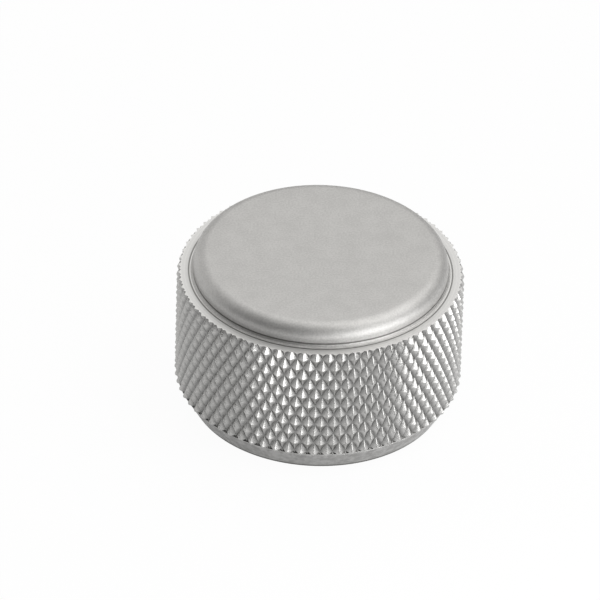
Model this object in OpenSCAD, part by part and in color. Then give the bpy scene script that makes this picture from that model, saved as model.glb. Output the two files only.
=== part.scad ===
// Round cabinet knob, turned from one bar of metal, with a diamond-knurled grip,
// a low cap with a rounded edge, a tapered foot and a tapped hole in its base.
// The base stands on z = 0 and the knob's axis is the Z axis. All sizes are in millimetres.

/* [Grip] */
// Diameter across the crests of the knurl
knob_d = 30; // [24:0.5:42]
// Height of the knurled grip
grip_h = 12.8; // [10:0.1:20]
// Distance from groove to groove, square to the grooves
knurl_pitch = 1.18; // [1:0.01:1.6]
// Slope of the grooves away from the axis, in degrees
knurl_angle = 30; // [25:1:40]
// Depth of the grooves below the crests
knurl_depth = 0.55; // [0.2:0.05:0.6]
// How far the first row of groove crossings lies below the shoulder
knurl_start = 0.75; // [0:0.05:1]
// How far a groove crossing is turned from the front, in degrees
knurl_turn = 1.8; // [0:0.1:5]

/* [Foot] */
// Height of the plain foot under the grip
foot_h = 2.7; // [1.5:0.1:5]
// How far the foot tapers in on each side
foot_inset = 1.8; // [0.5:0.1:3]
// Small chamfer round the base
base_chamfer = 0.15; // [0.05:0.05:0.3]

/* [Cap] */
// Height of the cap above the shoulder
cap_h = 2.3; // [2:0.1:5]
// Width of the flat shoulder between the grip's crests and the cap
shoulder_w = 1.7; // [1:0.1:3]
// Radius of the cap's rounded top edge
cap_edge_r = 1.5; // [0.5:0.1:1.6]
// Radius of the fillet where the cap meets the shoulder
cap_fillet_r = 0.3; // [0.1:0.05:0.35]

/* [Tapped hole] */
// Tapping diameter of the hole for the fixing screw
tap_d = 3.3; // [2.5:0.1:5]
// Depth of the hole at its full diameter
hole_depth = 12; // [5:0.5:12]
// Width of the countersink round the mouth of the hole
mouth_w = 0.65; // [0.3:0.05:1]
// Point angle of the drill, in degrees
drill_angle = 118; // [90:1:135]

/* [Hidden] */

knob_r = knob_d / 2;
base_r = knob_r - foot_inset;
chamfer_r = base_r + base_chamfer * foot_inset / foot_h;  // where the chamfer meets the taper
cap_r = knob_r - shoulder_w;
shoulder_z = foot_h + grip_h;
top_z = shoulder_z + cap_h;
tap_r = tap_d / 2;
mouth_r = tap_r + mouth_w;
mouth_depth = mouth_w;                            // a 90 degree countersink
point_h = tap_r / tan(drill_angle / 2);
cut = 0.5;                                        // how far a cutting shape runs past a face
round_fn = 180;

// The knurl is a lattice of points, in rows round the knob and columns up it. Groove crossings and
// crests take turns along each row and each column, so two sets of grooves cross all over the grip.
groove_count = round(PI * knob_d * cos(knurl_angle) / knurl_pitch);
columns = 2 * groove_count;
column_turn = 360 / columns;
row_h = PI * knob_d / columns / tan(knurl_angle);
rows_above = 2;                                   // rows of cells above the first row of crossings
lattice_z = shoulder_z - knurl_start + rows_above * row_h;
rows = rows_above + ceil((grip_h - knurl_start) / row_h) + 1;

function is_crest(column, row) = (column + row) % 2 == 1;
function lattice_point(column, row) =
    let (r = is_crest(column, row) ? knob_r : knob_r - knurl_depth,
         turn = column * column_turn + knurl_turn - 90)
    [r * cos(turn), r * sin(turn), lattice_z - row * row_h];

// Number of a lattice point in the list, row by row, going round past the last column
function at(column, row) = row * columns + column % columns;

// Two facets of each cell: they meet in the groove, which joins the cell's two crossings
function cell_facets(column, row) =
    let (a = at(column, row), b = at(column + 1, row),
         c = at(column + 1, row + 1), d = at(column, row + 1))
    is_crest(column, row) ? [[a, b, d], [b, c, d]] : [[a, b, c], [a, c, d]];

// Solid bar whose side is covered in diamonds, a little taller than the grip
module diamond_bar() {
    points = concat(
        [for (row = [0:rows], column = [0:columns - 1]) lattice_point(column, row)],
        [[0, 0, lattice_z], [0, 0, lattice_z - rows * row_h]]);
    top_centre = (rows + 1) * columns;
    bottom_centre = top_centre + 1;
    sides = [for (row = [0:rows - 1], column = [0:columns - 1])
        each cell_facets(column, row)];
    top = [for (column = [0:columns - 1])
        [top_centre, at(column + 1, 0), at(column, 0)]];
    bottom = [for (column = [0:columns - 1])
        [bottom_centre, at(column, rows), at(column + 1, rows)]];
    polyhedron(points, concat(sides, top, bottom), convexity = 4);
}

// The knurled grip, cut off square at the foot and at the shoulder
module grip() {
    intersection() {
        diamond_bar();
        translate([0, 0, foot_h])
            cylinder(r = knob_r + cut, h = grip_h, $fn = round_fn);
    }
}

// Half of the cap's section, with a rounded top edge and a fillet at its foot
module cap_profile() {
    wall_h = cap_h - cap_edge_r;
    flat_r = cap_r - cap_edge_r;
    translate([0, shoulder_z]) {
        square([flat_r, cap_h]);
        square([cap_r, wall_h]);
        translate([flat_r, wall_h])
            intersection() {
                circle(r = cap_edge_r, $fn = round_fn);
                square(cap_edge_r);
            }
        translate([cap_r, 0])
            difference() {
                square(cap_fillet_r);
                translate([cap_fillet_r, cap_fillet_r])
                    circle(r = cap_fillet_r, $fn = round_fn);
            }
    }
}

// Half of the foot's section, with the core that runs up inside the grip
module foot_profile() {
    polygon([[0, 0], [base_r - base_chamfer, 0], [chamfer_r, base_chamfer],
             [knob_r, foot_h], [cap_r, foot_h], [cap_r, shoulder_z], [0, shoulder_z]]);
}

// Foot, core and cap, turned in one profile
module turned_body() {
    rotate_extrude($fn = round_fn) {
        foot_profile();
        cap_profile();
    }
}

// Tapped hole in the base, with a countersunk mouth and the cone that the drill leaves
module screw_hole() {
    translate([0, 0, -cut])
        cylinder(r = tap_r, h = hole_depth + cut, $fn = round_fn);
    translate([0, 0, -cut])
        cylinder(r1 = mouth_r + cut, r2 = tap_r, h = mouth_depth + cut, $fn = round_fn);
    translate([0, 0, hole_depth])
        cylinder(r1 = tap_r, r2 = 0, h = point_h, $fn = round_fn);
}

module knob() {
    color([0.66, 0.65, 0.63])
        difference() {
            union() {
                turned_body();
                grip();
            }
            screw_hole();
        }
}

knob();
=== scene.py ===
from math import cos, pi, radians, sin, tan

import bmesh
import bpy
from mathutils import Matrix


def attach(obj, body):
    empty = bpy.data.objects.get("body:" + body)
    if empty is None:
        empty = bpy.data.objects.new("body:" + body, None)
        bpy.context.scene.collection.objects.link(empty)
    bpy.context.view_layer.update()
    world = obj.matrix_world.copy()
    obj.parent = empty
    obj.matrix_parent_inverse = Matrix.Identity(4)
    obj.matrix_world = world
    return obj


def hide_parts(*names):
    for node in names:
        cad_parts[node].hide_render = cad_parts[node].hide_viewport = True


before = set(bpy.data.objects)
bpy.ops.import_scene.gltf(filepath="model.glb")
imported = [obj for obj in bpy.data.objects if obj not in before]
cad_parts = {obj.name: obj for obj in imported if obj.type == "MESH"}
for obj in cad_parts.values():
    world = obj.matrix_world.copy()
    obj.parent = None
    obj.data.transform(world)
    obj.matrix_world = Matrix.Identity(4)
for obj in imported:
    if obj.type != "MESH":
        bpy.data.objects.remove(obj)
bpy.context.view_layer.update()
print("frame loaded")

# The knob is modelled in millimetres and brought to metres at the end.

near = {                   # how near counts as touching
    "loose": 0.01,         # joins the diamonds, finds the rings to round off
    "close": 0.001,        # joins what was cut, finds the rims to close
    "cut": 0.0001,
    "straight": 0.003,     # how level or upright an edge on a ridge is
}


def pickNone():
    for thing in bpy.context.selected_objects:
        thing.select_set(False)


def startPiece(name):
    piece = bpy.context.object
    piece.name = name
    piece.data.name = name
    return piece


def select(piece, kind, test):
    mesh = bmesh.from_edit_mesh(piece.data)
    bpy.ops.mesh.select_mode(type=kind)
    bpy.ops.mesh.select_all(action="DESELECT")
    parts = {"VERT": mesh.verts, "EDGE": mesh.edges, "FACE": mesh.faces}[kind]
    for part in parts:
        if test(part):
            part.select_set(True)
    mesh.select_flush_mode()
    bmesh.update_edit_mesh(piece.data)


def useModifier(piece, kind, **settings):
    modifier = piece.modifiers.new(kind.title(), kind)
    for key, value in settings.items():
        setattr(modifier, key, value)
    bpy.ops.object.modifier_apply(modifier=modifier.name)


def trim(z, side):
    bpy.ops.mesh.select_all(action="SELECT")
    bpy.ops.mesh.bisect(plane_co=(0, 0, z), plane_no=(0, 0, 1),
                        threshold=near["cut"], **{side: True})


view = {
    "aim": (-0.00206, -0.00108, 0.01253),
    "distance": 1.2605,
    "elevation": 36,
    "roll": 1.64,
    "lens": 726.4,
    "clip": (0.05, 20),
}
tilt = radians(view["elevation"])
aimX, aimY, aimZ = view["aim"]
pickNone()
bpy.ops.object.camera_add(location=(
    aimX,
    aimY - view["distance"] * cos(tilt),
    aimZ + view["distance"] * sin(tilt),
))
camera = bpy.context.object
camera.name = "camera"
camera.rotation_mode = "ZXY"
camera.rotation_euler = (pi / 2 - tilt, 0, radians(view["roll"]))
camera.data.lens = view["lens"]
camera.data.clip_start, camera.data.clip_end = view["clip"]
bpy.context.scene.camera = camera
print("camera placed")

grip = {                   # millimetres and degrees
    "radius": 15.0,        # out to the crests
    "grooves": 69,         # in each direction
    "angle": 30,           # of the grooves, from the axis
    "flank": 39,           # slope of a diamond's side
    "rootRadius": 0.08,
    "crestRadius": 0.09,
    "arcSteps": 2,
    "top": 15.5,
    "bottom": 2.7,
    "firstCrossing": 0.75,  # below the top
    "turn": 1.8,           # of the first crossing, from the front
    "ridge": 6,            # per cent of a diamond's side
    "rowsBelow": 11,       # rows of crossings below the first
    "pairsOfRows": 7,
}


def makeGrip():
    columns = 2 * grip["grooves"]
    wide = 2 * pi * grip["radius"] / columns
    high = wide / tan(radians(grip["angle"]))
    reach = wide * cos(radians(grip["angle"]))  # from a groove to the middle of a diamond
    flank = radians(grip["flank"])
    root, crest, steps = grip["rootRadius"], grip["crestRadius"], grip["arcSteps"]
    turns = [flank * n / steps for n in range(1, steps + 1)]
    arc = [(root * sin(t), root * (1 - cos(t))) for t in turns]
    side = (reach - (root + crest) * sin(flank)) / cos(flank)
    depth = (root + crest) * (1 - cos(flank)) + side * sin(flank)
    crestArc = [(reach - crest * sin(t), depth - crest * (1 - cos(t))) for t in reversed(turns)]
    firstRow = grip["top"] - grip["firstCrossing"] - grip["rowsBelow"] * high

    # one diamond, lying in the XZ plane with its crest towards -Y
    pickNone()
    bpy.ops.mesh.primitive_circle_add(
        vertices=4, radius=1, fill_type="NGON", rotation=(pi / 2, 0, 0),
    )
    piece = startPiece("grip")
    bpy.ops.object.transform_apply(location=False, rotation=True, scale=False)
    bpy.ops.object.mode_set(mode="EDIT")
    bpy.ops.mesh.select_all(action="SELECT")
    bpy.ops.transform.resize(value=(wide, 1, high))
    bpy.ops.transform.translate(value=(0, depth, firstRow))
    lastOut, lastUp = 0, 0
    for out, up in arc + crestArc:
        bpy.ops.mesh.inset(thickness=out - lastOut, depth=up - lastUp)
        lastOut, lastUp = out, up
    bpy.ops.mesh.merge(type="CENTER")

    # its neighbour, half a step aside and one row up
    bpy.ops.mesh.select_all(action="SELECT")
    bpy.ops.mesh.duplicate_move(TRANSFORM_OT_translate={"value": (wide, 0, high)})
    bpy.ops.object.mode_set(mode="OBJECT")
    merging = {"use_relative_offset": False, "use_constant_offset": True,
               "use_merge_vertices": True, "merge_threshold": near["loose"]}
    useModifier(piece, "ARRAY", count=grip["grooves"],
                constant_offset_displace=(2 * wide, 0, 0), **merging)
    useModifier(piece, "ARRAY", count=grip["pairsOfRows"],
                constant_offset_displace=(0, 0, 2 * high), **merging)

    # the strip is bent round into a sleeve, one column past the full turn
    useModifier(piece, "SIMPLE_DEFORM", deform_method="BEND", deform_axis="Z",
                angle=2 * pi * (columns + 1) / columns)
    bpy.ops.object.mode_set(mode="EDIT")
    bpy.ops.mesh.select_all(action="SELECT")
    bpy.ops.transform.translate(value=(0, -grip["radius"], 0))
    bpy.ops.transform.rotate(value=-radians(grip["turn"]), orient_axis="Z",
                             center_override=(0, 0, 0))
    bpy.ops.mesh.remove_doubles(threshold=near["loose"])
    bpy.ops.object.mode_set(mode="OBJECT")
    return piece


def bevelRidges(piece):
    # the ridges run level or upright, and the grooves neither
    def isRidge(edge):
        a, b = (v.co for v in edge.verts)
        across = abs(a.x * b.y - a.y * b.x) / grip["radius"]
        return min(abs(a.z - b.z), across) < near["straight"] and len(edge.link_faces) == 2

    bpy.ops.object.mode_set(mode="EDIT")
    select(piece, "EDGE", isRidge)
    bpy.ops.mesh.bevel(offset_type="PERCENT", offset_pct=grip["ridge"], segments=1,
                       profile=0.5, affect="EDGES", clamp_overlap=True)
    trim(grip["top"], "clear_outer")
    trim(grip["bottom"], "clear_inner")
    bpy.ops.mesh.select_all(action="SELECT")
    bpy.ops.mesh.remove_doubles(threshold=near["close"])
    bpy.ops.object.mode_set(mode="OBJECT")


turned = {
    "sides": 414,          # six to a groove
    "shoulderRing": 14.2,  # where the shoulder meets the face inside the knurl
    "cap": 13.3,
    "capTop": 17.8,
    "capRings": (9.0, 4.0, 1.0),
    "filletRadius": 0.3,
    "filletSteps": 8,
    "edgeRadius": 1.5,
    "edgeSteps": 14,
    "ledgeRing": 14.5,     # just inside the bottoms of the grooves
    "footTop": 14.75,
    "footRim": 0.05,
    "rimSteps": 3,
    "chamferRadius": 13.3,
    "chamfer": 0.15,
    "base": 13.05,
    "baseRings": (8.0, 3.4),
}

hole = {                   # radii, heights and the thread's pitch
    "mouth": 2.3,
    "major": 2.0,
    "minor": 1.65,
    "mouthGap": 0.05,      # how far the countersink ends outside the thread
    "tipGap": 0.03,        # how far the drilled tip lies inside the crests
    "pitch": 0.7,
    "threadEnd": 11.3,
    "deep": 12.0,
    "point": 118,          # degrees, of the drilled tip
    "sides": 46,
}


def ring(name, radius, z, sides):
    pickNone()
    bpy.ops.mesh.primitive_circle_add(vertices=sides, radius=radius, location=(0, 0, z))
    bpy.ops.object.transform_apply(location=True, rotation=False, scale=False)
    bpy.ops.object.mode_set(mode="EDIT")
    bpy.ops.mesh.select_all(action="SELECT")
    return startPiece(name), (radius, z)


def carryOn(here, steps):
    radius, z = here
    for nextRadius, nextZ in steps:
        bpy.ops.mesh.extrude_edges_move(TRANSFORM_OT_translate={"value": (0, 0, nextZ - z)})
        if nextRadius:
            grow = nextRadius / radius
            bpy.ops.transform.resize(value=(grow, grow, 1), center_override=(0, 0, nextZ))
        else:
            bpy.ops.mesh.merge(type="CENTER")
        radius, z = nextRadius, nextZ


def roundOff(piece, radius, z, offset, segments):
    def onRing(edge):
        return all(abs(v.co.z - z) < near["loose"]
                   and abs(v.co.xy.length - radius) < near["loose"] for v in edge.verts)

    select(piece, "EDGE", onRing)
    bpy.ops.mesh.bevel(offset=offset, segments=segments, profile=0.5, affect="EDGES",
                       clamp_overlap=False)


def makeCap():
    t = turned
    shoulder = grip["top"]
    piece, here = ring("cap", t["shoulderRing"], shoulder, t["sides"])
    carryOn(here, [(t["cap"], shoulder)]
            + [(radius, t["capTop"]) for radius in (t["cap"], *t["capRings"], 0)])
    roundOff(piece, t["cap"], t["capTop"], t["edgeRadius"], t["edgeSteps"])
    roundOff(piece, t["cap"], shoulder, t["filletRadius"], t["filletSteps"])
    bpy.ops.object.mode_set(mode="OBJECT")
    return piece


def makeFoot():
    t = turned
    piece, here = ring("foot", t["ledgeRing"], grip["bottom"], t["sides"])
    carryOn(here, [(t["footTop"], grip["bottom"]), (t["chamferRadius"], t["chamfer"])]
            + [(radius, 0) for radius in (t["base"], *t["baseRings"])])
    roundOff(piece, t["footTop"], grip["bottom"], t["footRim"], t["rimSteps"])
    bpy.ops.object.mode_set(mode="OBJECT")
    return piece


def makeHole():
    h = hole
    entry = h["mouth"] - h["major"] - h["mouthGap"]
    mouth, here = ring("mouth", h["mouth"], 0, h["sides"])
    carryOn(here, [(h["major"] + h["mouthGap"], entry)])
    bpy.ops.object.mode_set(mode="OBJECT")
    tipRadius = h["minor"] - h["tipGap"]
    tip, here = ring("tip", tipRadius, h["threadEnd"], h["sides"])
    point = h["deep"] + h["minor"] / tan(radians(h["point"] / 2))
    carryOn(here, [(tipRadius, h["deep"]), (0, point)])
    bpy.ops.object.mode_set(mode="OBJECT")

    # one tooth of the thread, drawn point by point and run up a helix
    flatIn, flatOut = h["pitch"] / 4, h["pitch"] / 8  # as on any metric thread
    flank = (h["pitch"] - flatIn - flatOut) / 2
    high = h["major"] - h["minor"]
    pickNone()
    bpy.ops.mesh.primitive_plane_add(size=0.1)
    thread = startPiece("thread")
    bpy.ops.object.mode_set(mode="EDIT")
    bpy.ops.mesh.select_mode(type="VERT")
    bpy.ops.mesh.select_all(action="SELECT")
    bpy.ops.mesh.merge(type="CENTER")
    bpy.ops.transform.translate(value=(h["minor"], 0, entry - 2 * h["pitch"]))
    for step in ((0, 0, flatIn), (high, 0, flank), (0, 0, flatOut), (-high, 0, flank)):
        bpy.ops.mesh.extrude_vertices_move(TRANSFORM_OT_translate={"value": step})
    bpy.ops.object.mode_set(mode="OBJECT")
    turns = int((h["threadEnd"] - entry) / h["pitch"]) + 4  # some to trim at both ends
    useModifier(thread, "SCREW", axis="Z", angle=2 * pi, screw_offset=h["pitch"],
                iterations=turns, steps=h["sides"], render_steps=h["sides"],
                use_merge_vertices=True, merge_threshold=near["close"])
    bpy.ops.object.mode_set(mode="EDIT")
    bpy.ops.mesh.select_all(action="SELECT")
    bpy.ops.mesh.remove_doubles(threshold=near["close"])
    trim(entry, "clear_inner")
    trim(h["threadEnd"], "clear_outer")
    bpy.ops.object.mode_set(mode="OBJECT")
    return mouth, thread, tip, entry


def makeKnob():
    piece = makeGrip()
    bevelRidges(piece)
    print("grip knurled")
    cap, foot = makeCap(), makeFoot()
    mouth, thread, tip, entry = makeHole()
    print("faces turned, hole tapped")

    pickNone()
    for part in (cap, foot, mouth, thread, tip, piece):
        part.select_set(True)
    bpy.context.view_layer.objects.active = piece
    bpy.ops.object.join()
    bpy.ops.object.mode_set(mode="EDIT")
    for z in (grip["top"], grip["bottom"], 0, entry, hole["threadEnd"]):
        select(piece, "EDGE", lambda edge: edge.is_boundary
               and all(abs(v.co.z - z) < near["close"] for v in edge.verts))
        bpy.ops.mesh.fill(use_beauty=True)
    bpy.ops.mesh.select_all(action="SELECT")
    bpy.ops.mesh.normals_make_consistent(inside=False)
    bpy.ops.object.mode_set(mode="OBJECT")
    piece.scale = (0.001,) * 3
    bpy.ops.object.transform_apply(location=False, rotation=False, scale=True)
    bpy.ops.object.shade_smooth_by_angle(angle=radians(15))  # each diamond's side stays flat
    useModifier(piece, "WEIGHTED_NORMAL", mode="FACE_AREA", weight=50, keep_sharp=True)
    return piece


knob = makeKnob()
knob.name = knob.data.name = "turnedKnob"
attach(knob, "root")
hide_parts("knob")
print("knob joined", len(knob.data.vertices), len(knob.data.polygons))

# Shader maths written as plain sums: a Wire stands for one socket of a node.


class Wire:
    def __init__(self, tree, socket):
        self.tree, self.socket = tree, socket

    def node(self, kind, settings, inputs, output=0):
        made = self.tree.nodes.new("ShaderNode" + kind)
        for key, value in settings.items():
            setattr(made, key, value)
        for key, value in inputs.items():
            if isinstance(value, Wire):
                self.tree.links.new(value.socket, made.inputs[key])
            else:
                made.inputs[key].default_value = value
        return Wire(self.tree, made.outputs[output])

    def maths(self, operation, *values):
        return self.node("Math", {"operation": operation}, dict(enumerate(values)))

    def __add__(self, other):
        return self.maths("ADD", self, other)

    def __radd__(self, other):
        return self.maths("ADD", other, self)

    def __sub__(self, other):
        return self.maths("SUBTRACT", self, other)

    def __rsub__(self, other):
        return self.maths("SUBTRACT", other, self)

    def __mul__(self, other):
        return self.maths("MULTIPLY", self, other)

    def __rmul__(self, other):
        return self.maths("MULTIPLY", other, self)

    def __pow__(self, other):
        return self.maths("POWER", self, other)

    def clamped(self):
        return self.node("Clamp", {}, {0: self, 1: 0.0, 2: 1.0})

    def ramp(self, fromLow, fromHigh, toLow, toHigh):
        return self.node("MapRange", {"interpolation_type": "SMOOTHSTEP"},
                         {0: self, 1: fromLow, 2: fromHigh, 3: toLow, 4: toHigh})

    def noise(self, scale, detail=2.0, roughness=0.5):
        return self.node("TexNoise", {}, {"Vector": self, "Scale": scale, "Detail": detail,
                                          "Roughness": roughness})

    def blend(self, first, second):
        return self.node("Mix", {"data_type": "RGBA"},
                         {0: self, 6: (*first, 1) if isinstance(first, tuple) else first,
                          7: (*second, 1) if isinstance(second, tuple) else second}, 2)


def startMaterial(name):
    material = bpy.data.materials.new(name)
    material.use_nodes = True
    tree = material.node_tree
    shader = tree.nodes["Principled BSDF"]
    shader.inputs["Metallic"].default_value = 1
    place = tree.nodes.new("ShaderNodeTexCoord")
    here = Wire(tree, place.outputs["Object"])
    here = here.node("VectorMath", {"operation": "MULTIPLY"}, {0: here, 1: (1000,) * 3})  # mm
    flat = here.node("VectorMath", {"operation": "MULTIPLY"}, {0: here, 1: (1, 1, 0)})
    away = here.node("VectorMath", {"operation": "LENGTH"}, {0: flat}, 1)
    height = here.node("SeparateXYZ", {}, {0: here}, 2)
    return material, shader, here, away, height


filletShadeLines = {            # painted shade: dark lines at either end of the fillet, in the corner between the cap's wall and the shoulder
    "wallHeight": 15.86,
    "wallHalf": 0.13,
    "wallDepths": (0.2, 0.1),  # inside the wall, where the painted shade line begins and is full
    "shoulderRadius": 13.74,
    "shoulderHalf": 0.11,
    "shoulderDepths": (0.2, 0.05),
    "strength": 0.8,
    "colour": (0.10, 0.098, 0.092),
}


def thinLine(wire, middle, half):
    return (1 - ((wire - middle) * (1 / half)) ** 2).clamped()


# Mask of the painted shade lines at the ends of the fillet.
def filletShade(away, height):
    f = filletShadeLines
    wallEnds = (turned["cap"] - depth for depth in f["wallDepths"])
    shoulderEnds = (grip["top"] - depth for depth in f["shoulderDepths"])
    onWall = thinLine(height, f["wallHeight"], f["wallHalf"])
    onShoulder = thinLine(away, f["shoulderRadius"], f["shoulderHalf"])
    onWall = onWall * away.ramp(*wallEnds, 0.0, 1.0)
    onShoulder = onShoulder * height.ramp(*shoulderEnds, 0.0, 1.0)
    return (onWall + onShoulder).clamped() * f["strength"]


def plugIn(shader, colour, roughness, bump, bumpDepth, bumpStrength):
    tree = colour.tree
    tree.links.new(colour.socket, shader.inputs["Base Color"])
    tree.links.new(roughness.socket, shader.inputs["Roughness"])
    normal = bump.node("Bump", {}, {"Height": bump, "Distance": bumpDepth / 1000,
                                    "Strength": bumpStrength})
    tree.links.new(normal.socket, shader.inputs["Normal"])


# A noise is given as its spots in a millimetre, its detail and its roughness.

blasted = {                # cap and fillet
    "dark": (0.500, 0.495, 0.485),
    "light": (0.590, 0.584, 0.573),
    "roughness": 0.58,
    "roughGrain": 0.10,    # how much the grain changes the roughness
    "cloud": (0.5, 3),
    "grain": (5, 2, 0.6),
    "cloudShare": 0.25,
    "speckle": (0.35, 0.65),  # noise at which the metal is all dark, and all light
    "depth": 0.006,
    "bump": 0.5,
}


def blastedMetal():
    b = blasted
    material, shader, here, away, height = startMaterial("blastedMetal")
    cloud, grain = here.noise(*b["cloud"]), here.noise(*b["grain"])
    speckle = b["cloudShare"] * cloud + (1 - b["cloudShare"]) * grain
    shade = speckle.ramp(*b["speckle"], 0.0, 1.0).blend(b["dark"], b["light"])
    # painted shade lines at the ends of the fillet
    shade = filletShade(away, height).blend(shade, filletShadeLines["colour"])
    rough = b["roughness"] + b["roughGrain"] * (grain - 0.5)
    plugIn(shader, shade, rough, grain, b["depth"], b["bump"])
    return material


machined = {               # shoulder, foot and base, with painted shade darkening the foot
    "dark": (0.64, 0.637, 0.628),
    "light": (0.76, 0.756, 0.745),
    "footShadeDark": (0.30, 0.297, 0.29),
    "footShadeLight": (0.44, 0.437, 0.43),
    "stain": (1.3, 4, 0.65),
    "stainEnds": (0.35, 0.65),
    "footShadeEnds": (2.4, 3.0),  # the foot's painted shade fades out between these heights
    "baseShadowTop": 0.55,       # how far the painted contact shadow at the base's edge reaches up
    "baseShadowStrength": 0.9,
    "roughness": 0.48,
    "roughGrain": 0.12,
    "lines": (7, 2, 0.6),  # tool marks
    "lineEnds": (0.3, 0.7),
    "spots": (3, 2),       # of a rougher surface
    "depth": 0.008,
    "bump": 0.4,
}


def machinedMetal():
    m = machined
    material, shader, here, away, height = startMaterial("machinedMetal")
    across = away.node("CombineXYZ", {}, {0: away, 2: height})
    lines = across.noise(*m["lines"])
    shade = lines.ramp(*m["lineEnds"], 0.0, 1.0).blend(m["dark"], m["light"])
    stain = here.noise(*m["stain"]).ramp(*m["stainEnds"], 0.0, 1.0)
    # painted shade: the foot darker than the shoulder, in blotches at random
    foot = stain.blend(m["footShadeDark"], m["footShadeLight"])
    shade = height.ramp(*m["footShadeEnds"], 1.0, 0.0).blend(shade, foot)
    # painted contact shadow along the bottom edge of the base, added to the fillet's painted
    # shade lines
    edge = height.ramp(m["baseShadowTop"] / 2, m["baseShadowTop"], m["baseShadowStrength"], 0.0)
    shadeLines = (filletShade(away, height) + edge).clamped()
    rough = m["roughness"] + m["roughGrain"] * (here.noise(*m["spots"]) - 0.5)
    shade = shadeLines.blend(shade, filletShadeLines["colour"])
    plugIn(shader, shade, rough, lines, m["depth"], m["bump"])
    return material


cutDiamonds = {            # the knurl, with painted shade in its grooves
    "dark": (0.16, 0.159, 0.156),
    "light": (0.52, 0.516, 0.506),
    "grooveShade": (0.48, 0.12),  # depths below the crests over which the painted shade gives way to the light metal
    "grooveShadeShare": 0.75,
    "mottleShare": 0.9,
    "least": 0.2,          # share of the light metal left in the painted shade at the groove roots
    "roughness": 0.22,
    "roughMottle": 0.35,
    "roughFine": 0.1,
    "mottle": (3, 3, 0.6),
    "fine": (9, 2),
    "depth": 0.02,
    "bump": 0.6,
}


def diamondMetal():
    c = cutDiamonds
    material, shader, here, away, height = startMaterial("diamondMetal")
    mottle, fine = here.noise(*c["mottle"]), here.noise(*c["fine"])
    low, high = (grip["radius"] - depth for depth in c["grooveShade"])
    # painted shade: the metal darkens from the crests down into the grooves
    grooveShade = away.ramp(low, high, 0.0, 1.0)
    shade = (c["grooveShadeShare"] * grooveShade + c["mottleShare"] * (mottle - 0.5) + c["least"]).clamped()
    rough = c["roughness"] + c["roughMottle"] * (mottle - 0.45) + c["roughFine"] * (fine - 0.5)
    plugIn(shader, shade.blend(c["dark"], c["light"]), rough, mottle, c["depth"], c["bump"])
    return material


threaded = {               # the hole
    "dark": (0.30, 0.29, 0.27),
    "light": (0.50, 0.49, 0.46),
    "roughness": 0.35,
    "roughStain": 0.2,
    "stain": (2, 4),
    "grain": (12, 2),
    "depth": 0.01,
    "bump": 0.4,
}


def threadMetal():
    t = threaded
    material, shader, here, away, height = startMaterial("threadMetal")
    stain, grain = here.noise(*t["stain"]), here.noise(*t["grain"])
    rough = t["roughness"] + t["roughStain"] * (stain - 0.5)
    plugIn(shader, stain.blend(t["dark"], t["light"]), rough, grain, t["depth"], t["bump"])
    return material


places = {                 # which faces take which metal, by their height or radius
    "blastedAbove": 15.505,
    "diamonds": (2.701, 15.499),
    "threadWithin": 2.31,
}
knob.data.materials.clear()
for material in (blastedMetal(), machinedMetal(), diamondMetal(), threadMetal()):
    knob.data.materials.append(material)
for face in knob.data.polygons:
    x, y, z = (1000 * value for value in face.center)
    if z > places["blastedAbove"]:
        face.material_index = 0
    elif (x * x + y * y) ** 0.5 < places["threadWithin"]:
        face.material_index = 3
    elif places["diamonds"][0] < z < places["diamonds"][1]:
        face.material_index = 2
    else:
        face.material_index = 1
print("materials made")

paper = {                  # the floor
    "size": 1.6,
    "colour": (0.86, 0.86, 0.86),
    "glow": 0.96,          # share of the paper that shows as plain white
    "mirrored": (0.50, 1.0),  # the same in a reflection, at the left and at the right: the left half is painted dimmer as shade
    "edge": 0.012,         # half the width of the change between them
}
pickNone()
bpy.ops.mesh.primitive_plane_add(size=paper["size"], location=(0, 0, 0))
floor = startPiece("floor")


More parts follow.
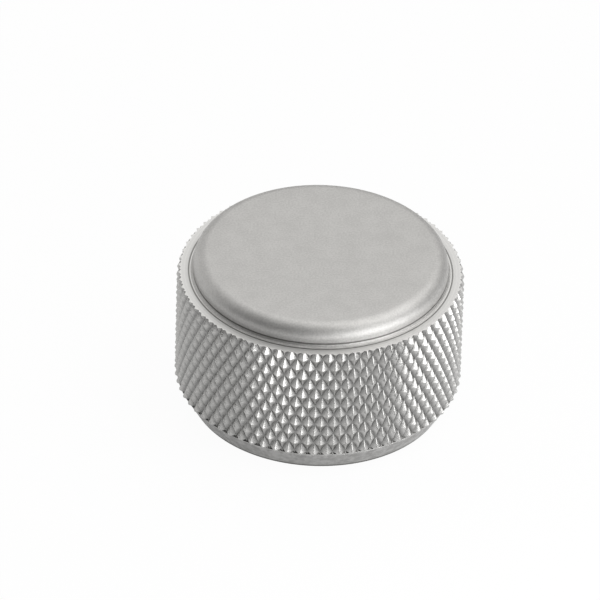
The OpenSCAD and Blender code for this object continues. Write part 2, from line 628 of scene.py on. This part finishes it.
def whitePaper():
    material = bpy.data.materials.new("whitePaper")
    material.use_nodes = True
    tree = material.node_tree
    shader = tree.nodes["Principled BSDF"]
    shader.inputs["Base Color"].default_value = (*paper["colour"], 1)
    shader.inputs["Roughness"].default_value = 1
    shader.inputs["Specular IOR Level"].default_value = 0
    ray = tree.nodes.new("ShaderNodeLightPath")
    seen, mirrored, through = (Wire(tree, ray.outputs[name]) for name in
                               ("Is Camera Ray", "Is Glossy Ray", "Is Transmission Ray"))
    place = Wire(tree, tree.nodes.new("ShaderNodeTexCoord").outputs["Object"])
    sideways = place.node("SeparateXYZ", {}, {0: place}, 0)
    # in reflections only, the paper's left half glows less than its right half, a painted shade
    paintedSideGlow = sideways.ramp(-paper["edge"], paper["edge"], *paper["mirrored"])
    share = (seen * paper["glow"] + (mirrored + through) * paintedSideGlow).clamped()
    glow = tree.nodes.new("ShaderNodeEmission")
    mixed = share.node("MixShader", {}, {0: share, 1: Wire(tree, shader.outputs[0]),
                                         2: Wire(tree, glow.outputs[0])})
    tree.links.new(mixed.socket, tree.nodes["Material Output"].inputs["Surface"])
    return material


floor.data.materials.append(whitePaper())

sky = {
    "level": 0.03,
    "tone": (1.0, 0.994, 0.984),
    "glows": [             # azimuth from the front, elevation, tightness, strength
        (180, 60, 6, 0.98),
        (150, 60, 16, 0.66),
        (240, 0, 16, 1.4),
        (82, 58, 40, 3.8),
    ],
}


def heading(azimuth, elevation):
    a, e = radians(azimuth), radians(elevation)
    return cos(e) * sin(a), -cos(e) * cos(a), sin(e)


def softSky():
    world = bpy.data.worlds.new("studio")
    bpy.context.scene.world = world
    world.use_nodes = True
    tree = world.node_tree
    place = Wire(tree, tree.nodes.new("ShaderNodeTexCoord").outputs["Generated"])
    light = sky["level"]
    for azimuth, elevation, tightness, strength in sky["glows"]:
        facing = place.node("VectorMath", {"operation": "DOT_PRODUCT"},
                            {0: place, 1: heading(azimuth, elevation)}, 1)
        light = light + strength * (0.5 * facing + 0.5) ** tightness
    shade = light.node("VectorMath", {"operation": "SCALE"}, {0: sky["tone"], 3: light})
    tree.links.new(shade.socket, tree.nodes["Background"].inputs["Color"])


softSky()

lamps = [  # name, azimuth from the front, distance, height, width, tall, watts
    ("softBox", 42, 0.104, 0.036, 0.070, 0.036, 0.040),
    ("lowStrip", 45, 0.084, 0.0085, 0.118, 0.017, 0.0235),
]
for name, azimuth, distance, height, width, tall, watts in lamps:
    outX, outY, up = heading(azimuth, 0)
    pickNone()
    bpy.ops.object.light_add(type="AREA", location=(distance * outX, distance * outY, height))
    lamp = bpy.context.object
    lamp.name = name
    lamp.rotation_euler = (pi / 2, 0, radians(azimuth))
    lamp.data.shape = "RECTANGLE"
    lamp.data.size, lamp.data.size_y = width, tall
    lamp.data.energy = watts
    lamp.visible_camera = False
print("floor and light ready")

bpy.context.scene.view_settings.view_transform = "Standard"
